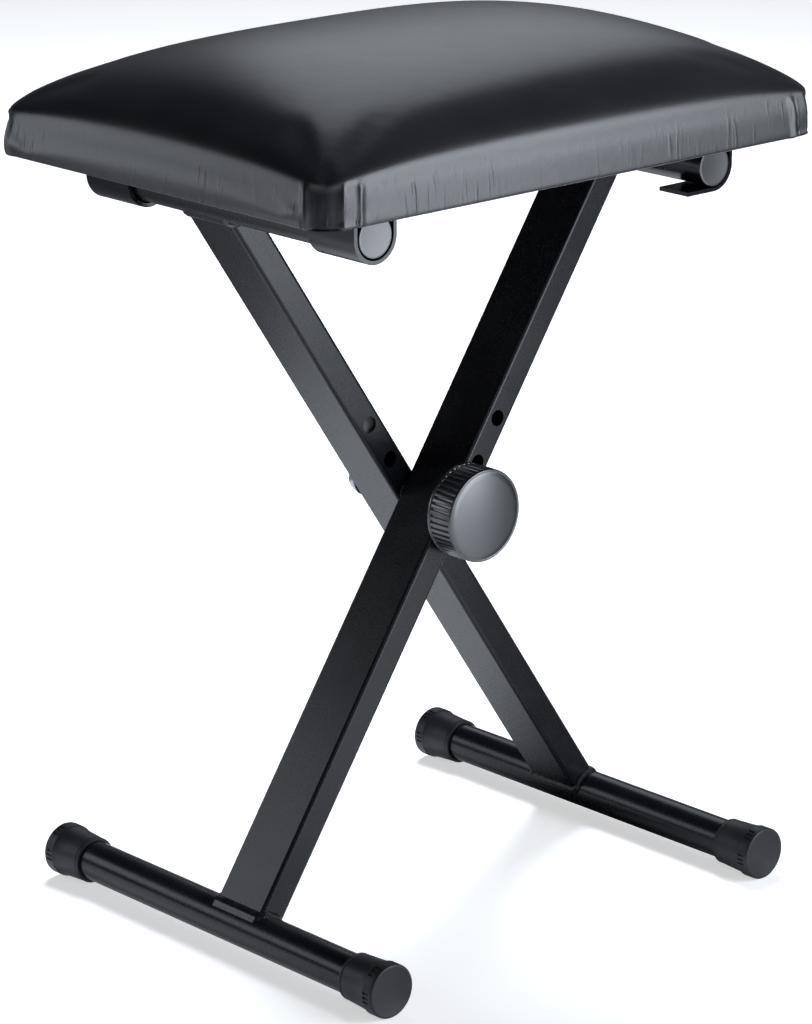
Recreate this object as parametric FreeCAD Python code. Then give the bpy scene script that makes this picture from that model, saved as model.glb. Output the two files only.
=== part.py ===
import FreeCAD, Part
import math
import os

# Folding bench with crossed legs, in millimetres. +Z is up, X runs along the seat's long side and
# Y along the foot tubes. The origin is on the floor, under the middle of the seat. The crossed legs
# lie side by side in planes square to Y, and the screw knob is on the front, at the smaller Y.

# Seat
seat_length = 400.0
seat_width = 300.0
seat_underside = 470.4
seat_corner_radius = 18.0
cover_thickness = 1.2
dust_cover_thickness = 0.8
hem_width = 24.0
board_thickness = 12.0

# Cushion form
side_band_height = 23.0
crown_height = 48.0
crown_power_long = 2.8
crown_power_short = 1.8
crown_fullness = 0.43
crown_levels = (0.14, 0.28, 0.42, 0.56, 0.69, 0.8, 0.89, 0.95, 0.98, 0.997)
underside_draw_in = 3.0
band_draw_in = ((0.0, 1.0), (0.15, 0.5), (0.35, 0.12), (0.6, 0.0), (1.0, 0.0))
pleat_width = 25.0
pleat_depth = 3.0
pleat_height = 29.0

# Round tubes, placed from the seat's edges
tube_diameter = 25.0
tube_wall = 1.5
seat_tube_inset = 63.5
foot_tube_inset = 42.3
seat_tube_set_back = 29.7
foot_overhang = 4.2
foot_cap_diameter = 33.2

# Crossed legs
leg_thickness = 19.0
leg_depth = 41.0
leg_wall = 1.5
leg_corner_radius = 2.5
legs_gap = 1.0
legs_middle_y = 1.0
hole_pitch = 30.0
spare_holes = 2
weld_size = 2.4

# Foot caps and tube plugs
cap_length = 31.0
cap_end_wall = 4.0
cap_head_length = 8.5
cap_sleeve_wall = 2.1
cap_sleeve_taper = 1.0
cap_edge_round = 1.2
cap_shoulder = 1.0
slot_groups = 6
slots_per_group = 3
slot_step = 10.0
slot_width = 1.6
slot_depth = 0.8
slot_length = 6.0
slot_margin = 1.0
plug_head = 1.5
plug_edge_round = 0.7
plug_stem = 14.0
plug_wall = 2.0

# Pivot bolt, its washers and the knob
bolt_diameter = 10.0
bolt_clearance = 0.08
bolt_head_flats = 16.0
bolt_head_height = 6.4
bolt_tip_round = 1.0
washer_diameter = 20.0
washer_thickness = 1.6
spacer_diameter = 18.0
turning_gap = 0.1
knob_diameter = 58.0
knob_ribs = 48
knob_rib_depth = 0.9
knob_groove_share = 0.56
knob_edge_step = 0.2
knob_depth = 22.4
knob_band = 2.3
knob_back_ring = 2.2
knob_stand_off = 3.8
knob_edge_round = 1.0
knob_back_round = 0.6
knob_face_wall = 4.0
knob_rim_wall = 3.2
knob_hub_diameter = 24.0
knob_webs = 6
knob_web_thickness = 1.8
knob_web_set_back = 3.0
insert_diameter = 16.0
insert_length = 17.0
bolt_tip_short = 1.5

# Seat brackets
strap_thickness = 2.4
plate_thickness = 2.4
saddle_width = 40.0
saddle_play = 1.1
saddle_flange = 15.0
saddle_bend = 2.5
hook_width = 24.0
hook_play = 0.7
hook_side_gap = 0.3
hook_lip = 22.5
hook_flange = 46.0
screw_diameter = 4.2
screw_head_diameter = 8.0
screw_head_height = 2.4
screw_head_round = 1.4
screw_bite = 10.0
screw_edge = 8.0
screw_past_bend = 0.8
recess_arm = 1.0
recess_depth = 1.3

# Staples round the dust cover
staple_crown = 10.0
staple_wire = 0.7
staple_leg = 6.0
staple_inset = 15.0
dust_cover_inset = 9.0
staples_long_side = 9
staples_short_side = 6

# Sizes that follow from the ones above
tube_radius = tube_diameter / 2
cap_radius = foot_cap_diameter / 2
foot_x = seat_length / 2 - foot_tube_inset
foot_z = cap_radius
foot_length = seat_width + 2 * foot_overhang
seat_tube_x = seat_length / 2 - seat_tube_inset
seat_tube_length = seat_width - 2 * seat_tube_set_back
seat_tube_z = seat_underside - plate_thickness - turning_gap - tube_radius
leg_tilt = math.atan2(foot_x + seat_tube_x, seat_tube_z - foot_z)
leg_length = math.hypot(foot_x + seat_tube_x, seat_tube_z - foot_z)
pivot_z = foot_z + (seat_tube_z - foot_z) * foot_x / (foot_x + seat_tube_x)
front_leg_y = legs_middle_y - (legs_gap + leg_depth) / 2
rear_leg_y = legs_middle_y + (legs_gap + leg_depth) / 2
front_face_y = front_leg_y - leg_depth / 2
rear_face_y = rear_leg_y + leg_depth / 2
foot_tube_length = foot_length - 2 * cap_end_wall
pipe_length = seat_tube_length - 2 * plug_head
hole_radius = bolt_diameter / 2 + bolt_clearance
board_underside = seat_underside + dust_cover_thickness + cover_thickness
knob_radius = knob_diameter / 2
knob_seat_y = front_face_y - 2 * turning_gap - washer_thickness
knob_rim_y = front_face_y - knob_stand_off
knob_face_y = knob_rim_y - knob_depth
flange_top = seat_underside - plate_thickness


def vector(x, y, z):
    return FreeCAD.Vector(x, y, z)


def box(x0, x1, y0, y1, z0, z1):
    return Part.makeBox(x1 - x0, y1 - y0, z1 - z0, vector(x0, y0, z0))


def rod_along_y(radius, x, z, y0, y1):
    return Part.makeCylinder(radius, y1 - y0, vector(x, y0, z), vector(0, 1, 0))


def rod_along_z(radius, x, y, z0, z1):
    return Part.makeCylinder(radius, z1 - z0, vector(x, y, z0))


def revolve(points):
    """Turn a closed outline of (radius, height) points round the Z axis."""
    outline = Part.makePolygon([vector(r, 0, z) for r, z in points + points[:1]])
    return Part.Face(outline).revolve(vector(0, 0, 0), vector(0, 0, 1), 360)


def eased_corner(radius, height, ease):
    """Outline points that turn from a round wall to its flat end over two short bevels."""
    middle = ease * (1 - math.sqrt(0.5))
    return [(radius, height - ease), (radius - middle, height - middle), (radius - ease, height)]


def eased_disc(radius, height, ease):
    """A disc that stands on the XY plane, with its upper edge eased."""
    return revolve([(0, 0), (radius, 0)] + eased_corner(radius, height, ease) + [(0, height)])


def turned_to_y(shape, x, y, z, towards):
    """Lay a shape built along +Z on its side, so that its top points along Y."""
    shape.rotate(vector(0, 0, 0), vector(1, 0, 0), -90 * towards)
    shape.translate(vector(x, y, z))
    return shape


def round_edges(shape, radius, wanted):
    """Fillet the edges whose middle point passes the test."""
    edges = [edge for edge in shape.Edges if wanted(edge.BoundBox.Center, edge)]
    return shape.makeFillet(radius, edges)


def save(shape, node):
    shape.exportStep("parts/%s.step" % node)
    print("%-24s volume %10.1f  solids %2d  valid %s"
          % (node, shape.Volume, len(shape.Solids), shape.isValid()))


# Crossed legs

def leg_bar(side, middle_y, growth=0.0):
    """A solid rounded bar from the foot tube's axis up to the seat tube's axis.

    side is -1 for the leg that stands on the left foot and +1 for the one on the right foot.
    """
    thickness = leg_thickness + 2 * growth
    depth = leg_depth + 2 * growth
    bar = box(-thickness / 2, thickness / 2, -depth / 2, depth / 2, 0, leg_length)
    bar = round_edges(bar, leg_corner_radius + growth, lambda middle, edge: edge.Length > leg_length - 1)
    bar.rotate(vector(0, 0, 0), vector(0, 1, 0), -side * math.degrees(leg_tilt))
    bar.translate(vector(side * foot_x, middle_y, foot_z))
    return bar


def leg_bore(side, middle_y):
    return leg_bar(side, middle_y, -leg_wall)


def leg_tube(side, middle_y):
    """The leg's rectangular tube, coped on to both round tubes and drilled for the pivot bolt."""
    tube = leg_bar(side, middle_y).cut(leg_bore(side, middle_y))
    y0 = middle_y - leg_depth
    y1 = middle_y + leg_depth
    foot = rod_along_y(tube_radius, side * foot_x, foot_z, y0, y1)
    top = rod_along_y(tube_radius, -side * seat_tube_x, seat_tube_z, y0, y1)
    tube = tube.cut(foot).cut(top)
    for number in range(spare_holes + 1):
        x = -side * math.sin(leg_tilt) * hole_pitch * number
        z = pivot_z + math.cos(leg_tilt) * hole_pitch * number
        tube = tube.cut(rod_along_y(hole_radius, x, z, y0, y1))
    return tube


def weld_bead(side, middle_y, x, z):
    """The bead that joins the leg's coped end to the round tube whose axis is at x, z."""
    y0 = middle_y - leg_depth
    y1 = middle_y + leg_depth
    ring = rod_along_y(tube_radius + weld_size, x, z, y0, y1).cut(rod_along_y(tube_radius, x, z, y0, y1))
    around = leg_bar(side, middle_y, weld_size).cut(leg_bar(side, middle_y))
    bead = ring.common(around)
    edges = [edge for edge in bead.Edges if is_outer_bead_edge(edge, side, middle_y, x, z)]
    return bead.makeChamfer(weld_size * 0.6, edges) if edges else bead


def is_outer_bead_edge(edge, side, middle_y, x, z):
    """True for the edges of the bead that lie away from both the leg and the round tube."""
    middle = edge.valueAt((edge.FirstParameter + edge.LastParameter) / 2)
    from_tube = math.hypot(middle.x - x, middle.z - z) - tube_radius
    across = (middle.x - side * foot_x) * math.cos(leg_tilt) + side * (middle.z - foot_z) * math.sin(leg_tilt)
    beyond_face = abs(middle.y - middle_y) - leg_depth / 2
    beyond_edge = abs(across) - leg_thickness / 2
    return from_tube > weld_size * 0.9 and max(beyond_face, beyond_edge) > weld_size * 0.9


def leg_welds(side, middle_y):
    return Part.makeCompound([
        weld_bead(side, middle_y, side * foot_x, foot_z),
        weld_bead(side, middle_y, -side * seat_tube_x, seat_tube_z),
    ])


def pipe(x, z, length):
    outer = rod_along_y(tube_radius, x, z, -length / 2, length / 2)
    return outer.cut(rod_along_y(tube_radius - tube_wall, x, z, -length / 2, length / 2))


# Caps and plugs

def foot_cap(x, towards):
    """A moulded rubber cap: a tapered sleeve, a wider head with groups of slots and a flat end."""
    bore = tube_radius
    sleeve = bore + cap_sleeve_wall
    neck = cap_length - cap_head_length
    cap = revolve([
        (bore, 0),
        (sleeve, 0),
        (sleeve + cap_sleeve_taper, neck - cap_shoulder),
        (cap_radius, neck),
    ] + eased_corner(cap_radius, cap_length, cap_edge_round) + [
        (0, cap_length),
        (0, cap_length - cap_end_wall),
        (bore, cap_length - cap_end_wall),
    ])
    slot = box(cap_radius - slot_depth, cap_radius + slot_depth, -slot_width / 2, slot_width / 2,
               neck + slot_margin, neck + slot_margin + slot_length)
    slots = []
    for group in range(slot_groups):
        for number in range(slots_per_group):
            turn = group * 360 / slot_groups + (number - (slots_per_group - 1) / 2) * slot_step
            copy = slot.copy()
            copy.rotate(vector(0, 0, 0), vector(0, 0, 1), turn)
            slots.append(copy)
    cap = cap.cut(Part.makeCompound(slots))
    return turned_to_y(cap, x, towards * (foot_length / 2 - cap_length), foot_z, towards)


def tube_plug(x, towards):
    """A flat plastic plug: its head covers the tube's end and its hollow stem fills the bore."""
    stem = tube_radius - tube_wall
    top = plug_stem + plug_head
    plug = revolve([
        (stem - plug_wall, 0),
        (stem, 0),
        (stem, plug_stem),
        (tube_radius, plug_stem),
    ] + eased_corner(tube_radius, top, plug_edge_round) + [
        (0, top),
        (0, plug_stem - plug_wall),
        (stem - plug_wall, plug_stem - plug_wall),
    ])
    return turned_to_y(plug, x, towards * (pipe_length / 2 - plug_stem), seat_tube_z, towards)


# Pivot bolt and knob

def hexagon(flats, x, z, y0, y1):
    """A hexagonal prism along Y, measured across its flats."""
    reach = flats / math.sqrt(3)
    turns = [math.radians(60 * number) for number in range(7)]
    corners = [vector(x + reach * math.cos(turn), y0, z + reach * math.sin(turn)) for turn in turns]
    return Part.Face(Part.makePolygon(corners)).extrude(vector(0, y1 - y0, 0))


def pivot_bolt():
    head_y = rear_face_y + washer_thickness
    tip_y = knob_seat_y - insert_length + bolt_tip_short
    shank = eased_disc(bolt_diameter / 2, head_y - tip_y, bolt_tip_round)
    shank = turned_to_y(shank, 0, head_y, pivot_z, -1)
    head = hexagon(bolt_head_flats, 0, pivot_z, head_y, head_y + bolt_head_height)
    crown = Part.makeCone(bolt_head_flats * 0.68, bolt_head_flats * 0.46, bolt_head_height,
                          vector(0, head_y, pivot_z), vector(0, 1, 0))
    return shank.fuse(head.common(crown))


def washer(diameter, y0, y1):
    disc = rod_along_y(diameter / 2, 0, pivot_z, y0, y1)
    return disc.cut(rod_along_y(hole_radius, 0, pivot_z, y0, y1))


def ribbed_rim(y0, y1):
    """The knob's rim: flat-topped ribs between tapered grooves, as an outline carried along Y."""
    step = 2 * math.pi / knob_ribs
    mouth = knob_groove_share * step / 2
    floor = mouth / 2
    floor_radius = knob_radius - knob_rib_depth

    def on_rim(radius, angle):
        return vector(radius * math.cos(angle), y0, pivot_z + radius * math.sin(angle))

    corners = []
    for rib in range(knob_ribs):
        middle = rib * step
        corners.append(on_rim(knob_radius, middle - mouth))
        corners.append(on_rim(floor_radius, middle - floor))
        corners.append(on_rim(floor_radius, middle + floor))
        corners.append(on_rim(knob_radius, middle + mouth))
    outline = Part.makePolygon(corners + corners[:1])
    return Part.Face(outline).extrude(vector(0, y1 - y0, 0))


def knob_web(inside):
    """One web that joins the hub to the inside of the rim."""
    return box(0, knob_radius - knob_rim_wall / 2, inside, knob_rim_y - knob_web_set_back,
               -knob_web_thickness / 2, knob_web_thickness / 2)


def knob_body():
    """A moulded screw knob: flat face, ribbed rim, and a hub on webs inside the hollow back."""
    inside = knob_face_y + knob_face_wall
    band_radius = knob_radius - knob_edge_step
    ring_y = knob_rim_y - knob_back_ring
    face = eased_disc(band_radius, knob_band, knob_edge_round)
    face = turned_to_y(face, 0, knob_face_y + knob_band, pivot_z, -1)
    ring = turned_to_y(eased_disc(band_radius, knob_back_ring, knob_back_round), 0, ring_y, pivot_z, 1)
    body = face.fuse([ribbed_rim(knob_face_y + knob_band, ring_y), ring])
    hollow = rod_along_y(knob_radius - knob_rim_wall, 0, pivot_z, inside, knob_rim_y)
    hub = rod_along_y(knob_hub_diameter / 2, 0, pivot_z, inside, knob_seat_y)
    webs = []
    for number in range(knob_webs):
        web = knob_web(inside)
        web.rotate(vector(0, 0, 0), vector(0, 1, 0), 360 / knob_webs * number)
        web.translate(vector(0, 0, pivot_z))
        webs.append(web)
    body = body.cut(hollow).fuse([hub] + webs)
    insert_y = knob_seat_y - insert_length
    body = body.cut(rod_along_y(insert_diameter / 2, 0, pivot_z, insert_y, knob_seat_y))
    return body.removeSplitter()


def knob_insert():
    y0 = knob_seat_y - insert_length
    sleeve = rod_along_y(insert_diameter / 2, 0, pivot_z, y0, knob_seat_y)
    return sleeve.cut(rod_along_y(hole_radius, 0, pivot_z, y0, knob_seat_y))


# Seat brackets

def bracket_span(width, towards):
    """The bracket's two Y limits: it ends level with the seat tube's plug."""
    outer = towards * seat_tube_length / 2
    inner = towards * (seat_tube_length / 2 - width)
    return min(outer, inner), max(outer, inner)


def saddle_strap(towards):
    """A closed strap round the pivot tube, with a flange on both sides."""
    y0, y1 = bracket_span(saddle_width, towards)
    inner = tube_radius + saddle_play
    outer = inner + strap_thickness
    reach = outer + saddle_flange
    body = lower_half(rod_along_y(outer, 0, 0, y0, y1))
    top = flange_top - seat_tube_z
    body = body.fuse(box(-outer, outer, y0, y1, 0, top))
    body = body.fuse(box(-reach, reach, y0, y1, top - strap_thickness, top)).removeSplitter()
    bend_z = top - strap_thickness
    body = round_edges(body, saddle_bend, lambda middle, edge: is_bend(middle, edge, outer, bend_z))
    opening = lower_half(rod_along_y(inner, 0, 0, y0, y1)).fuse(box(-inner, inner, y0, y1, 0, top))
    body = body.cut(opening)
    body.translate(vector(-seat_tube_x, 0, seat_tube_z))
    return body.cut(screw_holes(saddle_screw_places(towards)))


def lower_half(rod):
    """The half of a rod on the Y axis that lies below the axis."""
    bounds = rod.BoundBox
    return rod.common(box(bounds.XMin, bounds.XMax, bounds.YMin, bounds.YMax, bounds.ZMin, 0))


def is_bend(middle, edge, x, z):
    return edge.Length > 10 and abs(abs(middle.x) - x) < 0.01 and abs(middle.z - z) < 0.01


def saddle_plate(towards):
    """The flat plate between the seat and the pivot tube, held by the saddle's screws."""
    y0, y1 = bracket_span(saddle_width, towards)
    reach = tube_radius + saddle_play + strap_thickness + saddle_flange
    plate = box(-seat_tube_x - reach, -seat_tube_x + reach, y0, y1, flange_top, seat_underside)
    return plate.cut(screw_holes(saddle_screw_places(towards)))


def saddle_screw_places(towards):
    y0, y1 = bracket_span(saddle_width, towards)
    reach = tube_radius + saddle_play + strap_thickness + saddle_flange / 2 + screw_past_bend
    return [(-seat_tube_x + side * reach, y) for side in (-1, 1) for y in (y0 + screw_edge, y1 - screw_edge)]


def hook_bracket(towards):
    """A hook of bent strip: flange on the seat, wall outside the tube and a flat lip below it."""
    y0, y1 = bracket_span(hook_width, towards)
    inner = tube_radius + hook_play
    outer = inner + strap_thickness
    middle_x = tube_radius + hook_side_gap - inner
    top = seat_underside - seat_tube_z
    body = lower_half(rod_along_y(outer, middle_x, 0, y0, y1))
    body = body.fuse(box(middle_x, middle_x + outer, y0, y1, 0, top)).removeSplitter()
    corner_x = middle_x + outer
    body = round_edges(body, strap_thickness, lambda middle, edge: is_hook_corner(middle, edge, corner_x, top))
    body = body.fuse(box(-hook_lip, middle_x, y0, y1, -outer, -inner))
    body = body.fuse(box(middle_x + outer - hook_flange, middle_x + outer - strap_thickness,
                         y0, y1, top - plate_thickness, top))
    hollow = lower_half(rod_along_y(inner, middle_x, 0, y0, y1))
    hollow = hollow.fuse(box(middle_x - outer - 1, middle_x + inner, y0, y1, 0, top - plate_thickness))
    hollow = hollow.fuse(box(middle_x - outer - 1, middle_x, y0, y1, -inner, top - plate_thickness))
    body = body.cut(hollow).removeSplitter()
    body.translate(vector(seat_tube_x, 0, seat_tube_z))
    body = body.cut(screw_holes(hook_screw_places(towards)))
    return body.cut(Part.makeCompound([countersink(x, y) for x, y in hook_screw_places(towards)]))


def is_hook_corner(middle, edge, x, z):
    return edge.Length > 10 and abs(middle.x - x) < 0.01 and abs(middle.z - z) < 0.01


def hook_screw_places(towards):
    y0, y1 = bracket_span(hook_width, towards)
    x = seat_tube_x + tube_radius + strap_thickness - hook_flange + screw_edge
    return [(x, y0 + screw_edge), (x, y1 - screw_edge)]


def countersink(x, y):
    """The cone that lets a screw's head lie flush with the hook's flange."""
    head = screw_head_diameter / 2
    return Part.makeCone(head, screw_diameter / 2, plate_thickness, vector(x, y, flange_top))


def screw_holes(places):
    top = board_underside + screw_bite
    bottom = flange_top - strap_thickness
    return Part.makeCompound([rod_along_z(screw_diameter / 2, x, y, bottom, top) for x, y in places])


def pan_screw(x, y):
    """A pan-head wood screw driven up through flange and plate into the board."""
    under = flange_top - strap_thickness
    head = eased_disc(screw_head_diameter / 2, screw_head_height, screw_head_round)
    head.rotate(vector(0, 0, 0), vector(1, 0, 0), 180)
    head.translate(vector(x, y, under))
    slot = cross_recess(x, y, under - screw_head_height)
    return head.fuse(screw_shank(x, y, under)).cut(slot)


def flat_screw(x, y):
    """A countersunk wood screw whose head is flush with the hook's flange."""
    return countersink(x, y).fuse(screw_shank(x, y, flange_top)).cut(cross_recess(x, y, flange_top))


def screw_shank(x, y, bottom):
    tip = board_underside + screw_bite
    return rod_along_z(screw_diameter / 2, x, y, bottom, tip)


def cross_recess(x, y, bottom):
    half = screw_diameter / 2
    arm = recess_arm / 2
    top = bottom + recess_depth
    along = box(x - half, x + half, y - arm, y + arm, bottom, top)
    return along.fuse(box(x - arm, x + arm, y - half, y + half, bottom, top))


# Upholstered seat

def outline_stations():
    """Fractions of the half sizes at each corner's start, middle and end, and at each side's middle."""
    along = 1 - seat_corner_radius / (seat_length / 2)
    across = 1 - seat_corner_radius / (seat_width / 2)
    bulge = 1 - math.sqrt(0.5)
    corner_u = 1 - seat_corner_radius * bulge / (seat_length / 2)
    corner_v = 1 - seat_corner_radius * bulge / (seat_width / 2)
    return [
        (1, 0), (1, across), (corner_u, corner_v), (along, 1),
        (0, 1), (-along, 1), (-corner_u, corner_v), (-1, across),
        (-1, 0), (-1, -across), (-corner_u, -corner_v), (-along, -1),
        (0, -1), (along, -1), (corner_u, -corner_v), (1, -across),
    ]


def ring(points, z):
    """A closed outline of eight curves: every side and every corner is an arc or a straight line."""
    corners = [vector(x, y, z) for x, y in points]
    edges = []
    for number in range(1, 16, 2):
        start = corners[number]
        middle = corners[(number + 1) % 16]
        end = corners[(number + 2) % 16]
        bend = (middle - start).cross(end - middle).Length
        curve = Part.Arc(start, middle, end) if bend > 0.01 else Part.LineSegment(start, end)
        edges.append(curve.toShape())
    return Part.Wire(edges)


def crown_at(u, v):
    """How much of the crown's height is reached at these fractions of the half sizes."""
    along = max(0.0, 1 - abs(u) ** crown_power_long)
    across = max(0.0, 1 - abs(v) ** crown_power_short)
    return (along * across) ** crown_fullness


def reach_at(u, v, level):
    """How far out along a direction the crown still stands at this level, by halving."""
    near, far = 0.0, 1.0
    for step in range(30):
        middle = (near + far) / 2
        if crown_at(middle * u, middle * v) > level:
            near = middle
        else:
            far = middle
    return near


def cushion_form(inset, bottom):
    """The seat's upholstered form, drawn in at the bottom, with a full crown above the side band."""
    half_length = seat_length / 2 - inset
    half_width = seat_width / 2 - inset
    edge = seat_underside + side_band_height - inset
    stations = outline_stations()

    def band_ring(draw_in, z):
        return ring([(u * (half_length - draw_in), v * (half_width - draw_in)) for u, v in stations], z)

    def crown_ring(level):
        reaches = [reach_at(u, v, level) for u, v in stations]
        points = [(u * half_length * reach, v * half_width * reach)
                  for (u, v), reach in zip(stations, reaches)]
        return ring(points, edge + level * crown_height)

    rings = [band_ring(drawn * underside_draw_in, bottom + share * (edge - bottom))
             for share, drawn in band_draw_in]
    rings += [crown_ring(level) for level in crown_levels]
    form = Part.makeLoft(rings, True, True)
    return form.cut(Part.makeCompound([pleat(sx, sy, inset) for sx in (-1, 1) for sy in (-1, 1)]))


def pleat(side_x, side_y, inset):
    """The flat that a corner pleat takes off the seat's rounded corner, below the crown."""
    corner = math.hypot(seat_length / 2, seat_width / 2)
    reach = seat_corner_radius * (math.sqrt(2) - 1)
    half = pleat_width / 2 + inset
    block = box(-reach - pleat_depth - inset, corner, -half, half,
                seat_underside - 1, seat_underside + pleat_height - inset)
    block.rotate(vector(0, 0, 0), vector(0, 0, 1), math.degrees(math.atan2(side_y, side_x)))
    block.translate(vector(side_x * seat_length / 2, side_y * seat_width / 2, 0))
    return block


def flat_sheet(margin, z0, z1):
    """A thin rounded sheet that ends a margin inside the seat's outline."""
    half_length = seat_length / 2 - margin
    half_width = seat_width / 2 - margin
    sheet = box(-half_length, half_length, -half_width, half_width, z0, z1)
    return round_edges(sheet, seat_corner_radius, lambda middle, edge: edge.BoundBox.ZLength > (z1 - z0) / 2)


def seat_pieces():
    """Cover, foam, board and dust cover, all cut from one pair of nested forms."""
    outer = cushion_form(0.0, seat_underside + dust_cover_thickness)
    filling = cushion_form(cover_thickness, board_underside)
    opening = flat_sheet(hem_width, seat_underside, board_underside)
    holes = screw_holes(all_screw_places())
    cover = outer.cut(filling).cut(opening).cut(holes)
    above = board_underside + board_thickness
    half = seat_length
    slab = box(-half, half, -half, half, board_underside, above)
    board = filling.common(slab).cut(holes)
    foam = filling.cut(slab)
    lining = flat_sheet(hem_width, seat_underside + dust_cover_thickness, board_underside)
    dust_cover = flat_sheet(dust_cover_inset, seat_underside, seat_underside + dust_cover_thickness)
    dust_cover = dust_cover.fuse(lining).removeSplitter().cut(holes)
    staples = Part.makeCompound(staple_row())
    return cover.cut(staples), foam, board.cut(staples), dust_cover.cut(staples), staples


def all_screw_places():
    places = []
    for towards in (-1, 1):
        places += saddle_screw_places(towards) + hook_screw_places(towards)
    return places


def staple(x, y, turn):
    """A wire staple: its crown lies on the dust cover and its two legs go up into the board."""
    half = staple_crown / 2
    wire = staple_wire / 2
    bottom = seat_underside - staple_wire
    top = board_underside + staple_leg
    crown = box(-half, half, -wire, wire, bottom, seat_underside)
    legs = [box(end - wire, end + wire, -wire, wire, seat_underside, top)
            for end in (wire - half, half - wire)]
    whole = crown.fuse(legs).removeSplitter()
    whole.rotate(vector(0, 0, 0), vector(0, 0, 1), turn)
    whole.translate(vector(x, y, 0))
    return whole


def staple_row():
    """Evenly spaced staples along all four sides of the dust cover."""
    half_length = seat_length / 2 - staple_inset
    half_width = seat_width / 2 - staple_inset
    staples = []
    for side in (-1, 1):
        for number in range(staples_long_side):
            x = (number - (staples_long_side - 1) / 2) * 2 * half_length / (staples_long_side + 0.6)
            staples.append(staple(x, side * half_width, 0))
        for number in range(staples_short_side):
            y = (number - (staples_short_side - 1) / 2) * 2 * half_width / (staples_short_side + 0.6)
            staples.append(staple(side * half_length, y, 90))
    return staples


def build_frames():
    for name, side, middle_y, seat_tube in (("rear", 1, rear_leg_y, "seat_pivot_tube"),
                                            ("front", -1, front_leg_y, "seat_hook_tube")):
        save(leg_tube(side, middle_y), name + "_leg_tube")
        save(leg_welds(side, middle_y), name + "_leg_welds")
        save(pipe(side * foot_x, foot_z, foot_tube_length), name + "_leg_foot_tube")
        save(pipe(-side * seat_tube_x, seat_tube_z, pipe_length), seat_tube)
        for end, towards in (("front", -1), ("back", 1)):
            save(foot_cap(side * foot_x, towards), "%s_leg_foot_cap_%s" % (name, end))
            save(tube_plug(-side * seat_tube_x, towards), "%s_plug_%s" % (seat_tube, end))


def build_pivot():
    save(pivot_bolt(), "pivot_bolt")
    save(washer(washer_diameter, rear_face_y, rear_face_y + washer_thickness), "bolt_washer")
    spacer_y = rear_leg_y - leg_depth / 2
    save(washer(spacer_diameter, spacer_y - legs_gap + turning_gap, spacer_y), "leg_spacer")
    save(washer(washer_diameter, knob_seat_y + turning_gap, knob_seat_y + turning_gap + washer_thickness),
         "knob_washer")
    save(knob_body(), "knob_body")
    save(knob_insert(), "knob_insert")


def build_brackets():
    saddle_screws = []
    hook_screws = []
    for end, towards in (("front", -1), ("back", 1)):
        save(saddle_strap(towards), "saddle_strap_" + end)
        save(saddle_plate(towards), "saddle_plate_" + end)
        save(hook_bracket(towards), "hook_bracket_" + end)
        saddle_screws += [pan_screw(x, y) for x, y in saddle_screw_places(towards)]
        hook_screws += [flat_screw(x, y) for x, y in hook_screw_places(towards)]
    save(Part.makeCompound(saddle_screws), "saddle_screws")
    save(Part.makeCompound(hook_screws), "hook_screws")


def build_seat():
    cover, foam, board, dust_cover, staples = seat_pieces()
    save(cover, "seat_cover")
    save(foam, "seat_foam")
    save(board, "seat_board")
    save(dust_cover, "dust_cover")
    save(staples, "staples")


os.makedirs("parts", exist_ok=True)
build_frames()
build_pivot()
build_brackets()
build_seat()
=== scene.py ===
import logging
import math
from collections.abc import Callable, Sequence
from dataclasses import dataclass, field
from enum import Enum

import bmesh
import bpy
from mathutils import Matrix, Vector


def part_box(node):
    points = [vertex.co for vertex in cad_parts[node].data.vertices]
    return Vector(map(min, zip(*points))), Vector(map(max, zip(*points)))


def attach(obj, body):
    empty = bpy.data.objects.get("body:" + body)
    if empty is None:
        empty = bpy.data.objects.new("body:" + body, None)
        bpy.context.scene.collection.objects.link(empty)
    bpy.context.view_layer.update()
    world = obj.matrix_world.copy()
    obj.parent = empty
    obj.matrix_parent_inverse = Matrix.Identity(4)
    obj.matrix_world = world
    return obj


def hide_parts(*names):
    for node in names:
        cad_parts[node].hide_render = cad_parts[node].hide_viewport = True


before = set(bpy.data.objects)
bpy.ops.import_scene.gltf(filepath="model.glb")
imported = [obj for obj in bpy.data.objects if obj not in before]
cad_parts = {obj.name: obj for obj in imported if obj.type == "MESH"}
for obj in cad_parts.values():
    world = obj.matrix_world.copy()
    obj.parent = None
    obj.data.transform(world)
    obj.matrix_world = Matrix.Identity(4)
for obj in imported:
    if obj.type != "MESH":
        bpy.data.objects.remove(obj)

LOG = logging.getLogger("folding_bench")
CREASE = "crease"

Colour = tuple[float, float, float]
Point = tuple[float, float, float]
Outline = Sequence[tuple[float, float]]


class End(Enum):
    """The two ends of a tube that lies along Y, by the sign of Y."""

    FRONT = -1
    BACK = 1


class Frame(Enum):
    """The two crossed frames, by the body they ride on."""

    REAR = "rear_frame"
    FRONT = "front_frame"

    @property
    def word(self) -> str:
        """The word that starts the names of this frame's CAD nodes."""
        return self.value.split("_")[0]


# Shader maths


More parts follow.
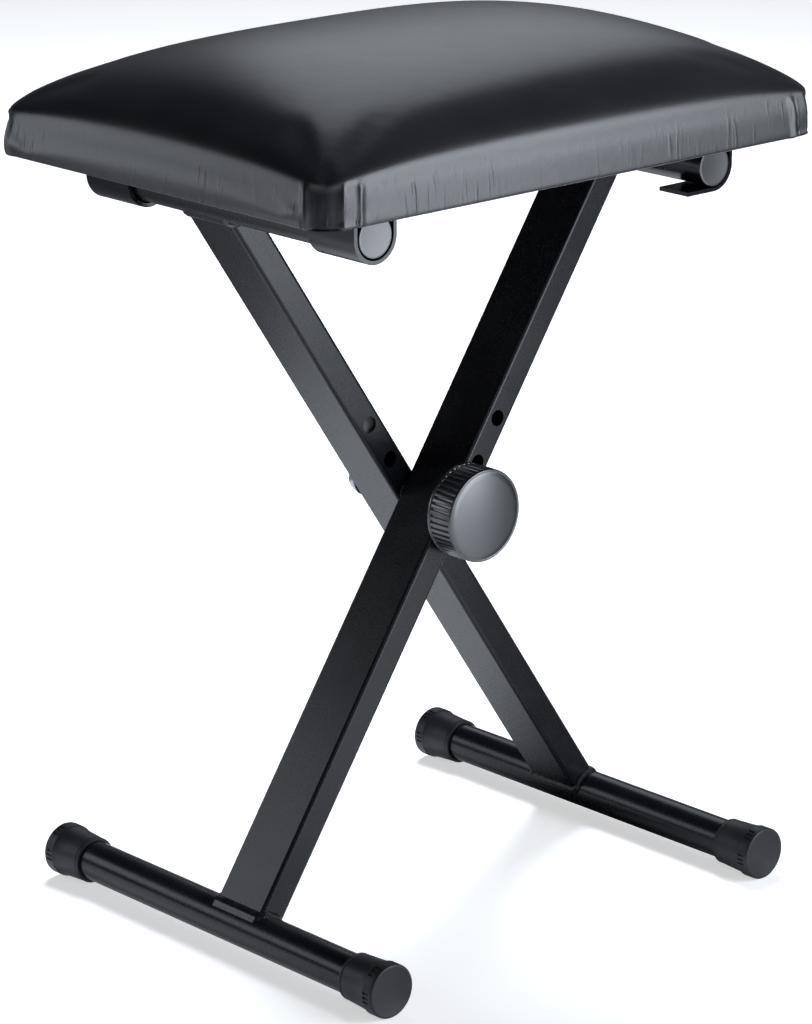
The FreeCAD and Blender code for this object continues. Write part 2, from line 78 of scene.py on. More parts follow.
class Value:
    """A shader socket that Python's operators work on."""

    def __init__(self, graph: "Graph", socket: bpy.types.NodeSocket) -> None:
        """Keep the socket and the graph that it belongs to."""
        self.graph = graph
        self.socket = socket

    def __add__(self, other: "Value | float") -> "Value":
        """Return self + other."""
        return self.graph.maths("ADD", self, other)

    def __radd__(self, other: float) -> "Value":
        """Return other + self."""
        return self.graph.maths("ADD", other, self)

    def __sub__(self, other: "Value | float") -> "Value":
        """Return self - other."""
        return self.graph.maths("SUBTRACT", self, other)

    def __rsub__(self, other: float) -> "Value":
        """Return other - self."""
        return self.graph.maths("SUBTRACT", other, self)

    def __mul__(self, other: "Value | float") -> "Value":
        """Return self * other."""
        return self.graph.maths("MULTIPLY", self, other)

    def __rmul__(self, other: float) -> "Value":
        """Return other * self."""
        return self.graph.maths("MULTIPLY", other, self)

    def __pow__(self, other: float) -> "Value":
        """Return self raised to other."""
        return self.graph.maths("POWER", self, other)

    def between(self, low: float, high: float) -> "Value":
        """Return 0 below low, 1 above high, and a smooth step in between."""
        made = self.graph.node(
            "ShaderNodeMapRange",
            {"interpolation_type": "SMOOTHSTEP"},
            {"Value": self, "From Min": low, "From Max": high},
        )
        return Value(self.graph, made.outputs["Result"])


class Graph:
    """The node tree of one material."""

    def __init__(self, name: str) -> None:
        """Start a material with an empty tree."""
        self.material = bpy.data.materials.new(name)
        self.material.use_nodes = True
        self.tree = self.material.node_tree
        self.tree.nodes.clear()

    def node(
        self,
        kind: str,
        settings: dict[str, object] | None = None,
        inputs: dict[str | int, object] | None = None,
    ) -> bpy.types.Node:
        """Add one node.

        Args:
            kind: The node's type.
            settings: Its own settings, set before its sockets; "stops" holds a ramp's stops.
            inputs: The value or link of each socket, by its name or number.

        Returns:
            The new node.
        """
        made = self.tree.nodes.new(kind)
        for name, setting in (settings or {}).items():
            if name == "stops":
                self._set_stops(made.color_ramp.elements, setting)
            else:
                setattr(made, name, setting)
        for key, given in (inputs or {}).items():
            if isinstance(given, Value):
                self.tree.links.new(given.socket, made.inputs[key])
            elif isinstance(given, tuple) and made.inputs[key].type == "RGBA":
                made.inputs[key].default_value = (*given, 1.0)
            else:
                made.inputs[key].default_value = given
        return made

    @staticmethod
    def _set_stops(elements: bpy.types.ColorRampElements, stops: Sequence[tuple[float, float]]) -> None:
        """Give a ramp its grey stops.

        Args:
            elements: The ramp's stops.
            stops: The place and the level of each.
        """
        while len(elements) < len(stops):
            elements.new(0.5)
        for element, (place, level) in zip(elements, stops):
            element.position = place
            element.color = (level, level, level, 1.0)

    def maths(self, operation: str, first: "Value | float", second: "Value | float") -> Value:
        """Add a Math node and return its result."""
        made = self.node("ShaderNodeMath", {"operation": operation}, {0: first, 1: second})
        return Value(self, made.outputs[0])

    def mix(self, factor: "Value | float", first: "Value | Colour", second: "Value | Colour") -> Value:
        """Mix two colours and return the result."""
        made = self.node("ShaderNodeMix", {"data_type": "RGBA"}, {0: factor, 6: first, 7: second})
        return Value(self, made.outputs[2])

    def place(self, stretch: Point = (1.0, 1.0, 1.0)) -> Value:
        """Add object coordinates.

        Args:
            stretch: Their scale along each axis.

        Returns:
            The coordinates.
        """
        coordinates = self.node("ShaderNodeTexCoord")
        mapped = self.node(
            "ShaderNodeMapping",
            {},
            {"Vector": Value(self, coordinates.outputs["Object"]), "Scale": stretch},
        )
        return Value(self, mapped.outputs["Vector"])

    def noise(
        self,
        size: float,
        detail: float = 2.0,
        rough: float = 0.5,
        stretch: Point = (1.0, 1.0, 1.0),
    ) -> Value:
        """Add a noise pattern.

        Args:
            size: How large its patches are, in metres.
            detail: How many finer layers it has.
            rough: How strong the finer layers are.
            stretch: Its scale along each axis; less than 1 draws it out.

        Returns:
            The noise, from 0 to 1.
        """
        made = self.node(
            "ShaderNodeTexNoise",
            {},
            {"Vector": self.place(stretch), "Scale": 1.0 / size, "Detail": detail, "Roughness": rough},
        )
        return Value(self, made.outputs["Fac"])

    def cells(self, size: float, feature: str = "F1", randomness: float = 1.0) -> Value:
        """Add a pattern of cells.

        Args:
            size: How large the cells are, in metres.
            feature: Which of Blender's Voronoi distances it gives.
            randomness: 0 for a grid of cells and 1 for scattered ones.

        Returns:
            The distance.
        """
        made = self.node(
            "ShaderNodeTexVoronoi",
            {"feature": feature},
            {"Vector": self.place(), "Scale": 1.0 / size, "Randomness": randomness},
        )
        return Value(self, made.outputs["Distance"])

    def bump(self, height: Value, distance: float, below: Value | None = None) -> Value:
        """Add a bump.

        Args:
            height: The pattern, from 0 to 1.
            distance: How high its highest places stand, in metres.
            below: The normal that it lies on top of.

        Returns:
            The new normal.
        """
        inputs: dict[str | int, object] = {"Height": height, "Distance": distance, "Strength": 1.0}
        if below is not None:
            inputs["Normal"] = below
        made = self.node("ShaderNodeBump", {}, inputs)
        return Value(self, made.outputs["Normal"])

    def surface(self, **inputs: object) -> bpy.types.Material:
        """Finish the tree with a Principled shader.

        Args:
            inputs: Socket values, named in lower case with underscores for spaces.

        Returns:
            The finished material.
        """
        sockets = {self._socket_name(name): given for name, given in inputs.items()}
        shader = self.node("ShaderNodeBsdfPrincipled", {}, sockets)
        self.node("ShaderNodeOutputMaterial", {}, {"Surface": Value(self, shader.outputs["BSDF"])})
        return self.material

    @staticmethod
    def _socket_name(name: str) -> str:
        """Return a Principled socket's own name."""
        return name.replace("_", " ").title().replace("Ior", "IOR")


# Finishes


@dataclass(frozen=True)
class PowderCoat:
    """Satin black powder coat on steel, with a fine orange peel and faint handling marks."""

    name: str = "black_powder_coat"
    colour: Colour = (0.0040, 0.0045, 0.0065)
    dusty: Colour = (0.0075, 0.0080, 0.0105)
    roughness: float = 0.27
    peel_size: float = 0.0016
    peel_height: float = 0.000022
    shine: float = 0.40
    marks_size: float = 0.035

    def material(self) -> bpy.types.Material:
        """Build the finish.

        Returns:
            The material.
        """
        graph = Graph(self.name)
        marks = graph.noise(self.marks_size, 4.0, 0.6)
        peel = graph.noise(self.peel_size, 1.5, 0.4)
        colour = graph.mix(marks.between(0.45, 0.75), self.colour, self.dusty)
        roughness = self.roughness + (marks - 0.5) * 0.10 + (peel - 0.5) * 0.05
        return graph.surface(
            base_color=colour,
            roughness=roughness,
            specular_ior_level=self.shine,
            normal=graph.bump(peel, self.peel_height),
        )


@dataclass(frozen=True)
class PlatedSteel:
    """Bright plated steel, with fine drawn lines along one axis."""

    name: str = "zinc_plate"
    colour: Colour = (0.56, 0.57, 0.58)
    dull: Colour = (0.40, 0.40, 0.42)
    roughness: float = 0.32
    line_size: float = 0.0004

    def material(self) -> bpy.types.Material:
        """Build the finish.

        Returns:
            The material.
        """
        graph = Graph(self.name)
        patches = graph.noise(0.006, 4.0, 0.6)
        lines = graph.noise(self.line_size, 1.0, 0.5, (1.0, 0.05, 1.0))
        return graph.surface(
            base_color=graph.mix(patches.between(0.35, 0.7), self.colour, self.dull),
            metallic=1.0,
            roughness=self.roughness + (patches - 0.5) * 0.2,
            normal=graph.bump(lines, 0.000012),
        )


@dataclass(frozen=True)
class MouldedPlastic:
    """Satin black moulded plastic with the fine texture of its mould."""

    name: str = "knob_plastic"
    colour: Colour = (0.0080, 0.0085, 0.0110)
    roughness: float = 0.30
    shine: float = 1.0
    ior: float = 1.62
    grain_size: float = 0.0005
    grain_height: float = 0.000008

    def material(self) -> bpy.types.Material:
        """Build the finish.

        Returns:
            The material.
        """
        graph = Graph(self.name)
        grain = graph.noise(self.grain_size, 2.0, 0.6)
        flow = graph.noise(0.018, 3.0, 0.5)
        pale = (self.colour[0] * 1.5, self.colour[1] * 1.5, self.colour[2] * 1.5)
        return graph.surface(
            base_color=graph.mix(flow.between(0.4, 0.8), self.colour, pale),
            roughness=self.roughness + (flow - 0.5) * 0.08,
            specular_ior_level=self.shine,
            ior=self.ior,
            normal=graph.bump(grain, self.grain_height),
        )


@dataclass(frozen=True)
class Rubber:
    """Matt black rubber with a dry, slightly dusty skin."""

    name: str = "foot_rubber"
    colour: Colour = (0.0090, 0.0095, 0.0120)
    dusty: Colour = (0.0170, 0.0175, 0.0205)
    roughness: float = 0.48
    grain_size: float = 0.0007

    def material(self) -> bpy.types.Material:
        """Build the finish.

        Returns:
            The material.
        """
        graph = Graph(self.name)
        grain = graph.noise(self.grain_size, 3.0, 0.65)
        dust = graph.noise(0.012, 5.0, 0.65)
        return graph.surface(
            base_color=graph.mix(dust.between(0.42, 0.8), self.colour, self.dusty),
            roughness=self.roughness + (dust - 0.5) * 0.16,
            normal=graph.bump(grain, 0.000035),
        )


@dataclass(frozen=True)
class Vinyl:
    """Soft black artificial leather: a pebbled grain, fine stretch lines and a low even gloss."""

    name: str = "black_vinyl"
    colour: Colour = (0.0075, 0.0080, 0.0105)
    worn: Colour = (0.0105, 0.0110, 0.0135)
    roughness: float = 0.39
    shine: float = 0.58
    gloss_coat: float = 0.30
    coat_roughness: float = 0.30
    pebble_size: float = 0.0013
    pebble_height: float = 0.000035
    stretch_size: float = 0.010
    stretch_height: float = 0.00016
    pull_size: float = 0.0055
    pull_height: float = 0.00035
    pull_heights: tuple[float, float] = (0.488, 0.500)

    def material(self) -> bpy.types.Material:
        """Build the finish.

        Returns:
            The material.
        """
        graph = Graph(self.name)
        pebbles = graph.cells(self.pebble_size)
        pores = graph.noise(0.0005, 2.0, 0.6)
        stretch = graph.noise(self.stretch_size, 4.0, 0.55)
        cloudy = graph.noise(0.060, 3.0, 0.5)
        grain = pebbles * 0.8 + pores * 0.35
        stretched = graph.bump(stretch, self.stretch_height)
        normal = graph.bump(self.pulls(graph), self.pull_height, stretched)
        crease = graph.node("ShaderNodeAttribute", {"attribute_name": CREASE})
        folded = Value(graph, crease.outputs["Fac"])
        roughness = self.roughness + (cloudy - 0.5) * 0.07 + (pebbles - 0.5) * 0.05
        return graph.surface(
            base_color=graph.mix(cloudy.between(0.35, 0.75), self.colour, self.worn),
            roughness=roughness + folded * 0.30,
            specular_ior_level=self.shine,
            coat_weight=(1.0 - folded) * self.gloss_coat,
            coat_roughness=self.coat_roughness,
            normal=graph.bump(grain, self.pebble_height, normal),
        )

    def pulls(self, graph: Graph) -> Value:
        """Draw the small upright wrinkles of the band, where the cover is pulled down over the board.

        Args:
            graph: The node tree to draw them in.

        Returns:
            Their height, from 0 to 1.
        """
        split = graph.node("ShaderNodeSeparateXYZ", {}, {0: graph.place()})
        band = 1.0 - Value(graph, split.outputs["Z"]).between(*self.pull_heights)
        patches = graph.noise(0.045, 2.0, 0.5).between(0.45, 0.65)
        wrinkles = graph.noise(self.pull_size, 2.5, 0.6, (1.0, 1.0, 0.08)).between(0.52, 0.72)
        return wrinkles * band * (patches * 0.8 + 0.2)


@dataclass(frozen=True)
class Lining:
    """Black non-woven dust cover: pressed fibres with a grid of small bonding dots."""

    name: str = "dust_cover_cloth"
    colour: Colour = (0.0100, 0.0100, 0.0115)
    fibre: Colour = (0.0360, 0.0360, 0.0390)
    dot_pitch: float = 0.0016

    def material(self) -> bpy.types.Material:
        """Build the finish.

        Returns:
            The material.
        """
        graph = Graph(self.name)
        along = graph.noise(0.0006, 3.0, 0.7, (0.12, 1.0, 1.0))
        across = graph.noise(0.0007, 3.0, 0.7, (1.0, 0.15, 1.0))
        dots = graph.cells(self.dot_pitch, "F1", 0.15)
        fibres = (along + across) * 0.5
        height = fibres + dots.between(0.1, 0.4) * 0.5
        return graph.surface(
            base_color=graph.mix(fibres.between(0.35, 0.7), self.colour, self.fibre),
            roughness=0.92,
            normal=graph.bump(height, 0.00009),
        )


@dataclass(frozen=True)
class Plywood:
    """Birch plywood with a long grain and darker glue lines between its plies."""

    name: str = "seat_plywood"
    colour: Colour = (0.46, 0.31, 0.17)
    dark: Colour = (0.27, 0.16, 0.08)
    ply: float = 0.0024

    def material(self) -> bpy.types.Material:
        """Build the finish.

        Returns:
            The material.
        """
        graph = Graph(self.name)
        grain = graph.noise(0.004, 5.0, 0.65, (0.06, 1.0, 1.0))
        bands = graph.node(
            "ShaderNodeTexWave",
            {"wave_type": "BANDS", "bands_direction": "Z"},
            {"Vector": graph.place(), "Scale": 0.5 / self.ply, "Distortion": 0.6},
        )
        plies = Value(graph, bands.outputs["Fac"])
        shade = grain.between(0.35, 0.7) * 0.7 + plies.between(0.8, 1.0) * 0.3
        return graph.surface(
            base_color=graph.mix(shade, self.colour, self.dark),
            roughness=0.62 + (grain - 0.5) * 0.2,
            normal=graph.bump(grain, 0.00012),
        )


@dataclass(frozen=True)
class WeldBead:
    """Powder coat over a weld bead: the ripples of the bead show through the paint."""

    name: str = "coated_weld"
    colour: Colour = (0.0040, 0.0045, 0.0065)
    roughness: float = 0.28
    ripple: float = 0.0022

    def material(self) -> bpy.types.Material:
        """Build the finish.

        Returns:
            The material.
        """
        graph = Graph(self.name)
        wave = graph.node(
            "ShaderNodeTexWave",
            {"wave_type": "RINGS", "rings_direction": "SPHERICAL"},
            {"Vector": graph.place(), "Scale": 0.5 / self.ripple, "Distortion": 2.5, "Detail": 2.0},
        )
        ripples = Value(graph, wave.outputs["Fac"])
        lumps = graph.noise(0.003, 2.0, 0.5)
        return graph.surface(
            base_color=graph.mix(lumps.between(0.4, 0.8), self.colour, (0.009, 0.0095, 0.012)),
            roughness=self.roughness + (lumps - 0.5) * 0.12,
            normal=graph.bump(ripples * 0.6 + lumps, 0.00012),
        )


# Moves on one mesh


def deselect_all() -> None:
    """Leave nothing selected, in object mode."""
    if bpy.context.object is not None and bpy.context.object.mode != "OBJECT":
        bpy.ops.object.mode_set(mode="OBJECT")
    bpy.ops.object.select_all(action="DESELECT")


def make_active(piece: bpy.types.Object) -> None:
    """Select one piece alone and make it the active one."""
    deselect_all()
    piece.select_set(True)
    bpy.context.view_layer.objects.active = piece


def pick_faces(piece: bpy.types.Object, wanted: Callable[[bmesh.types.BMFace], bool]) -> int:
    """Enter edit mode and select the faces that pass a test.

    Args:
        piece: The mesh piece.
        wanted: True for the faces to select.

    Returns:
        How many faces are selected.
    """
    bpy.ops.object.mode_set(mode="EDIT")
    bpy.ops.mesh.select_mode(type="FACE")
    bpy.ops.mesh.select_all(action="DESELECT")
    mesh = bmesh.from_edit_mesh(piece.data)
    count = 0
    for face in mesh.faces:
        face.select = wanted(face)
        count += face.select
    bmesh.update_edit_mesh(piece.data)
    return count


def apply_place(piece: bpy.types.Object, place: Matrix) -> None:
    """Put a piece in its place and write that place into its mesh.

    Args:
        piece: The piece to place.
        place: Where it goes, and how it is turned.
    """
    make_active(piece)
    piece.matrix_world = place
    bpy.ops.object.transform_apply(location=True, rotation=True, scale=True)


def apply_modifier(piece: bpy.types.Object, kind: str, **settings: object) -> None:
    """Add a modifier and apply it.

    Args:
        piece: The piece to change.
        kind: The modifier's type.
        settings: Its settings, by their names.
    """
    make_active(piece)
    modifier = piece.modifiers.new(kind.title(), kind)
    for name, setting in settings.items():
        setattr(modifier, name, setting)
    bpy.ops.object.modifier_apply(modifier=modifier.name)


def ease_edges(piece: bpy.types.Object, width: float, segments: int, degrees: float) -> None:
    """Bevel the edges that are sharper than an angle.

    Args:
        piece: The piece to change.
        width: The bevel's width, in metres.
        segments: How many faces it has across.
        degrees: The angle.
    """
    apply_modifier(
        piece,
        "BEVEL",
        width=width,
        segments=segments,
        limit_method="ANGLE",
        angle_limit=math.radians(degrees),
    )


def smooth(piece: bpy.types.Object, degrees: float) -> None:
    """Shade a piece smoothly across edges up to an angle."""
    make_active(piece)
    bpy.ops.object.shade_smooth_by_angle(angle=math.radians(degrees))


def lathe(name: str, outline: Outline, steps: int) -> bpy.types.Object:
    """Draw an outline by extruding one point, and spin it round the Z axis.

    Args:
        name: The new piece's name.
        outline: Points of radius and height, which start and end on the axis.
        steps: The number of faces round the axis.

    Returns:
        The closed piece, at the origin.
    """
    deselect_all()
    bpy.ops.mesh.primitive_plane_add(size=0.01)
    piece = bpy.context.object
    piece.name = name
    piece.data.name = name
    bpy.ops.object.mode_set(mode="EDIT")
    bpy.ops.mesh.select_mode(type="VERT")
    bpy.ops.mesh.select_all(action="SELECT")
    bpy.ops.mesh.merge(type="CENTER")
    bpy.ops.transform.translate(value=(outline[0][0], 0, outline[0][1]))
    for (radius, height), (next_radius, next_height) in zip(outline, outline[1:]):
        bpy.ops.mesh.extrude_region_move(
            TRANSFORM_OT_translate={"value": (next_radius - radius, 0, next_height - height)}
        )
    bpy.ops.mesh.select_all(action="SELECT")
    bpy.ops.mesh.spin(steps=steps, angle=math.tau, center=(0, 0, 0), axis=(0, 0, 1))
    bpy.ops.mesh.select_all(action="SELECT")
    bpy.ops.mesh.remove_doubles(threshold=0.000002)
    bpy.ops.mesh.normals_make_consistent(inside=False)
    bpy.ops.object.mode_set(mode="OBJECT")
    return piece


def rounded_corner(radius: float, height: float, ease: float, steps: int = 4) -> list[tuple[float, float]]:
    """Turn an outline from a round wall in to its flat end.

    Args:
        radius: The wall's radius.
        height: The height of the flat end.
        ease: The radius of the rounding.
        steps: How many lines make up the rounding.

    Returns:
        The outline's points round the corner.
    """
    points = []
    for step in range(steps + 1):
        turn = math.pi / 2 * step / steps
        points.append((radius - ease * (1 - math.cos(turn)), height - ease * (1 - math.sin(turn))))
    return points


def axis_place(centre_x: float, y: float, z: float, end: End) -> Matrix:
    """Return the place of a piece turned so that its Z axis points out along Y."""
    return Matrix.Translation((centre_x, y, z)) @ Matrix.Rotation(-end.value * math.pi / 2, 4, "X")


def finish_piece(
    piece: bpy.types.Object, material: bpy.types.Material, slot: str, body: str, *nodes: str
) -> None:
    """Give a new piece its material, hang it on the body that it rides on, and hide the CAD nodes that it
    stands for.

    Args:
        piece: The finished mesh.
        material: Its finish.
        slot: Not used.
        body: The body that it moves with.
        nodes: The CAD nodes that it stands for.
    """
    piece.data.materials.clear()
    piece.data.materials.append(material)
    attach(piece, body)
    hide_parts(*nodes)
    LOG.info("%s: %d faces on %s", piece.name, len(piece.data.polygons), body)


def dress(material: bpy.types.Material, *nodes: str) -> None:
    """Give CAD nodes a material in place of their plain one.

    Args:
        material: The finish.
        nodes: The names of the nodes.
    """
    for node in nodes:
        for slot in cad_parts[node].material_slots:
            slot.material = material


# Sub-assemblies


@dataclass
class FootCap:
    """A rubber cap with a lip at its open end, a wider head and groups of slots."""

    sleeve_radius: float = 0.0146
    neck_radius: float = 0.0157
    bore_radius: float = 0.01252
    head_length: float = 0.0085
    end_wall: float = 0.0040
    edge_round: float = 0.0012
    steps: int = 72
    slot_pattern: tuple[int, ...] = (0, 2, 10)
    slot_repeat: int = 12
    slot_depth: float = 0.0008
    slot_edge: float = 0.00012
    sharp_angle: float = 50.0
    material: bpy.types.Material | None = None

    def outline(self, radius: float, length: float) -> Outline:
        """Draw half of the cap's cross-section.

        Args:
            radius: The head's radius.
            length: The cap's length from its open end.

        Returns:
            The outline, from the bore's end wall round to the closed end.
        """
        neck = length - self.head_length
        return [
            (0, length - self.end_wall),
            (self.bore_radius, length - self.end_wall),
            (self.bore_radius, 0.0003),
            (self.bore_radius + 0.0003, 0),
            (self.sleeve_radius - 0.0005, 0),
            (self.sleeve_radius, 0.0004),
            (self.sleeve_radius, 0.0015),
            (self.sleeve_radius - 0.0004, 0.0019),
            (self.sleeve_radius - 0.0004, 0.0024),
            (self.sleeve_radius, 0.0029),
            ((self.sleeve_radius + self.neck_radius) / 2, neck * 0.55),
            (self.neck_radius, neck - 0.0012),
            (radius - 0.0003, neck),
            (radius, neck + 0.0005),
            (radius, neck + 0.0011),
            (radius, neck + 0.0058),
            *rounded_corner(radius, length, self.edge_round),
            (radius - self.edge_round - 0.0004, length),
            (radius - self.edge_round - 0.0009, length - 0.00025),
            (0, length - 0.00025),
        ]

    def model(self, node: str) -> bpy.types.Object:
        """Model one cap along Z.

        Args:
            node: The CAD node whose size it gets.

        Returns:
            The cap, with its open end at the origin.
        """
        low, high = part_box(node)
        radius = (high.x - low.x) / 2
        length = high.y - low.y
        piece = lathe("moulded_foot_cap", self.outline(radius, length), self.steps)
        make_active(piece)
        neck = length - self.head_length
        pick_faces(piece, lambda face: self._is_slot(face, radius, neck))
        bpy.ops.mesh.inset(thickness=self.slot_edge, depth=-self.slot_depth, use_individual=True)
        bpy.ops.object.mode_set(mode="OBJECT")
        ease_edges(piece, self.slot_edge, 1, self.sharp_angle)
        smooth(piece, 35)
        return piece

    def _is_slot(self, face: bmesh.types.BMFace, radius: float, neck: float) -> bool:
        """True for the head's faces that become slots."""
        centre = face.calc_center_median()
        if not neck + 0.002 < centre.z < neck + 0.005 or math.hypot(centre.x, centre.y) < radius * 0.95:
            return False
        number = int(math.degrees(math.atan2(centre.y, centre.x)) % 360 / (360 / self.steps))
        return number % self.slot_repeat in self.slot_pattern

    def build(self) -> None:
        """Copy the modelled cap to the four ends of the foot tubes."""
        pattern = self.model("rear_leg_foot_cap_front")
        for which in Frame:
            for end in End:
                node = "%s_leg_foot_cap_%s" % (which.word, end.name.lower())
                low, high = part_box(node)
                cap = pattern.copy()
                cap.data = pattern.data.copy()
                cap.name = "%s_foot_cap_%s_moulded" % (which.word, end.name.lower())
                bpy.context.collection.objects.link(cap)
                open_end = high.y if end is End.FRONT else low.y
                centre = (low + high) / 2
                apply_place(cap, axis_place(centre.x, open_end, centre.z, end))
                finish_piece(cap, self.material, "rubber", which.value, node)
        bpy.data.objects.remove(pattern)


@dataclass
class TubePlug:
    """A flat plastic plug with an eased edge and a faint dish, and a stem inside the tube."""

    wall: float = 0.0015
    head: float = 0.0015
    edge_round: float = 0.0006
    dish: float = 0.00025
    steps: int = 72
    material: bpy.types.Material | None = None

    def outline(self, radius: float, length: float) -> Outline:
        """Draw half of the plug's cross-section.

        Args:
            radius: The head's radius.
            length: The plug's whole length.

        Returns:
            The outline, from its inner end to its face.
        """
        stem = radius - self.wall - 0.0001
        neck = length - self.head
        return [
            (0, 0.0),
            (stem - 0.0008, 0.0),
            (stem, 0.0010),
            (stem, neck),
            (radius - 0.0002, neck),
            (radius, neck + 0.0002),
            *rounded_corner(radius, length, self.edge_round),
            (radius * 0.86, length - self.dish * 0.2),
            (radius * 0.5, length - self.dish * 0.8),
            (0, length - self.dish),
        ]

    def build(self) -> None:
        """Model the plug once and copy it to both ends of both seat tubes."""
        low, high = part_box("seat_pivot_tube_plug_front")
        pattern = lathe("moulded_plug", self.outline((high.x - low.x) / 2, high.y - low.y), self.steps)
        smooth(pattern, 40)
        for tube, body in (("seat_pivot_tube", Frame.REAR), ("seat_hook_tube", Frame.FRONT)):
            for end in End:
                node = "%s_plug_%s" % (tube, end.name.lower())
                low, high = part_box(node)
                plug = pattern.copy()
                plug.data = pattern.data.copy()
                plug.name = node + "_moulded"
                bpy.context.collection.objects.link(plug)
                inner_end = high.y if end is End.FRONT else low.y
                centre = (low + high) / 2
                apply_place(plug, axis_place(centre.x, inner_end, centre.z, end))
                finish_piece(plug, self.material, "plug_plastic", body.value, node)
        bpy.data.objects.remove(pattern)


@dataclass
class Knob:
    """The screw knob: a faintly domed face, a ribbed rim, and a hub on webs in the hollow back."""

    ribs: int = 48
    rib_depth: float = 0.0014
    rib_slope: float = 0.00025
    rib_edge: float = 0.00016
    sharp_angle: float = 38.0
    face_edge: float = 0.0009
    face_wall: float = 0.0040
    rim_wall: float = 0.0032
    hub_radius: float = 0.0120
    hub_reach: float = 0.0020
    insert_radius: float = 0.0080
    insert_depth: float = 0.0150
    back_ring: float = 0.0022
    front_band: float = 0.0021
    dome: float = 0.0017
    webs: int = 6
    web_thickness: float = 0.0018
    material: bpy.types.Material | None = None

    def outline(self, radius: float, depth: float) -> Outline:
        """Draw half of the knob's cross-section.

        Args:
            radius: The rim's radius.
            depth: The depth from the back of the rim to the middle of the face.

        Returns:
            The outline, from the bore round the hub and rim to the face.
        """
        inner = radius - self.rim_wall
        floor = depth - self.face_wall
        ring = radius - 0.0002
        return [
            (0, self.insert_depth),
            (self.insert_radius, self.insert_depth),
            (self.insert_radius, -self.hub_reach),
            (self.hub_radius - 0.0003, -self.hub_reach),
            (self.hub_radius, -self.hub_reach + 0.0003),
            (self.hub_radius, floor),
            (inner, floor),
            (inner, 0.0003),
            (inner + 0.0003, 0),
            (ring - 0.0005, 0),
            (ring - 0.0001, 0.0003),
            (ring, 0.0008),
            (ring, self.back_ring - 0.0004),
            (ring - 0.0007, self.back_ring),
            (radius - 0.0004, self.back_ring + 0.0003),
            (radius, self.back_ring + 0.0008),
            (radius, depth - self.front_band - 0.0012),
            (radius - 0.0003, depth - self.front_band - 0.0004),
            (radius - 0.0009, depth - self.front_band),
            (radius - 0.0009, depth - self.front_band - self.dome + 0.0013),
            *rounded_corner(ring, depth - self.dome, self.face_edge),
            (ring - self.face_edge - 0.0004, depth - self.dome),
            (ring - self.face_edge - 0.0007, depth - self.dome - 0.0002),
            *self.domed_face(ring - self.face_edge - 0.0010, depth),
        ]

    def domed_face(self, radius: float, depth: float, steps: int = 8) -> Outline:
        """Draw the face as a shallow dome.

        Args:
            radius: The dome's radius.
            depth: The height of its middle.
            steps: How many lines make up its curve.

        Returns:
            The outline, from the dome's edge to the axis.
        """
        shares = [1 - step / steps for step in range(steps + 1)]
        return [(radius * share, depth - self.dome * share * share) for share in shares]

    def build(self) -> None:
        """Spin the outline, press the grooves in, add the webs and place the knob."""
        low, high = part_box("knob_body")
        radius = (high.x - low.x) / 2
        depth = high.y - low.y - self.hub_reach
        piece = lathe("ribbed_knob", self.outline(radius, depth), self.ribs * 2)
        make_active(piece)
        pick_faces(piece, lambda face: self._is_groove(face, radius, depth))
        bpy.ops.mesh.inset(thickness=self.rib_slope, depth=-self.rib_depth, use_individual=True)
        bpy.ops.object.mode_set(mode="OBJECT")
        ease_edges(piece, self.rib_edge, 2, self.sharp_angle)
        webs = [self._web(number, radius, depth) for number in range(self.webs)]
        make_active(piece)
        for web in webs:
            web.select_set(True)
        bpy.ops.object.join()
        smooth(piece, self.sharp_angle)
        centre = (low + high) / 2
        apply_place(piece, axis_place(centre.x, high.y - self.hub_reach, centre.z, End.FRONT))
        finish_piece(piece, self.material, "knob_plastic", "knob", "knob_body")

    def _is_groove(self, face: bmesh.types.BMFace, radius: float, depth: float) -> bool:
        """True for every other face of the rim between its two bands."""
        centre = face.calc_center_median()
        if not self.back_ring + 0.001 < centre.z < depth - self.front_band - 0.0015:
            return False
        if math.hypot(centre.x, centre.y) < radius - 0.001:
            return False
        number = int(math.degrees(math.atan2(centre.y, centre.x)) % 360 / (180 / self.ribs))
        return number % 2 == 0

    def _web(self, number: int, radius: float, depth: float) -> bpy.types.Object:
        """Make one web between hub and rim, from a cube with eased edges.

        Args:
            number: Which of the webs it is.
            radius: The rim's radius.
            depth: The knob's depth.

        Returns:
            The web, turned to its place round the axis.
        """
        inner = self.hub_radius - 0.001
        outer = radius - self.rim_wall + 0.001
        floor = depth - self.face_wall
        deselect_all()
        bpy.ops.mesh.primitive_cube_add(size=1.0)
        web = bpy.context.object
        web.scale = (outer - inner, self.web_thickness, floor - 0.003)
        web.location = ((outer + inner) / 2, 0, (floor + 0.003) / 2)
        bpy.ops.object.transform_apply(location=True, rotation=True, scale=True)
        apply_modifier(web, "BEVEL", width=0.0004, segments=2)
        apply_place(web, Matrix.Rotation(math.tau / self.webs * number, 4, "Z"))
        return web


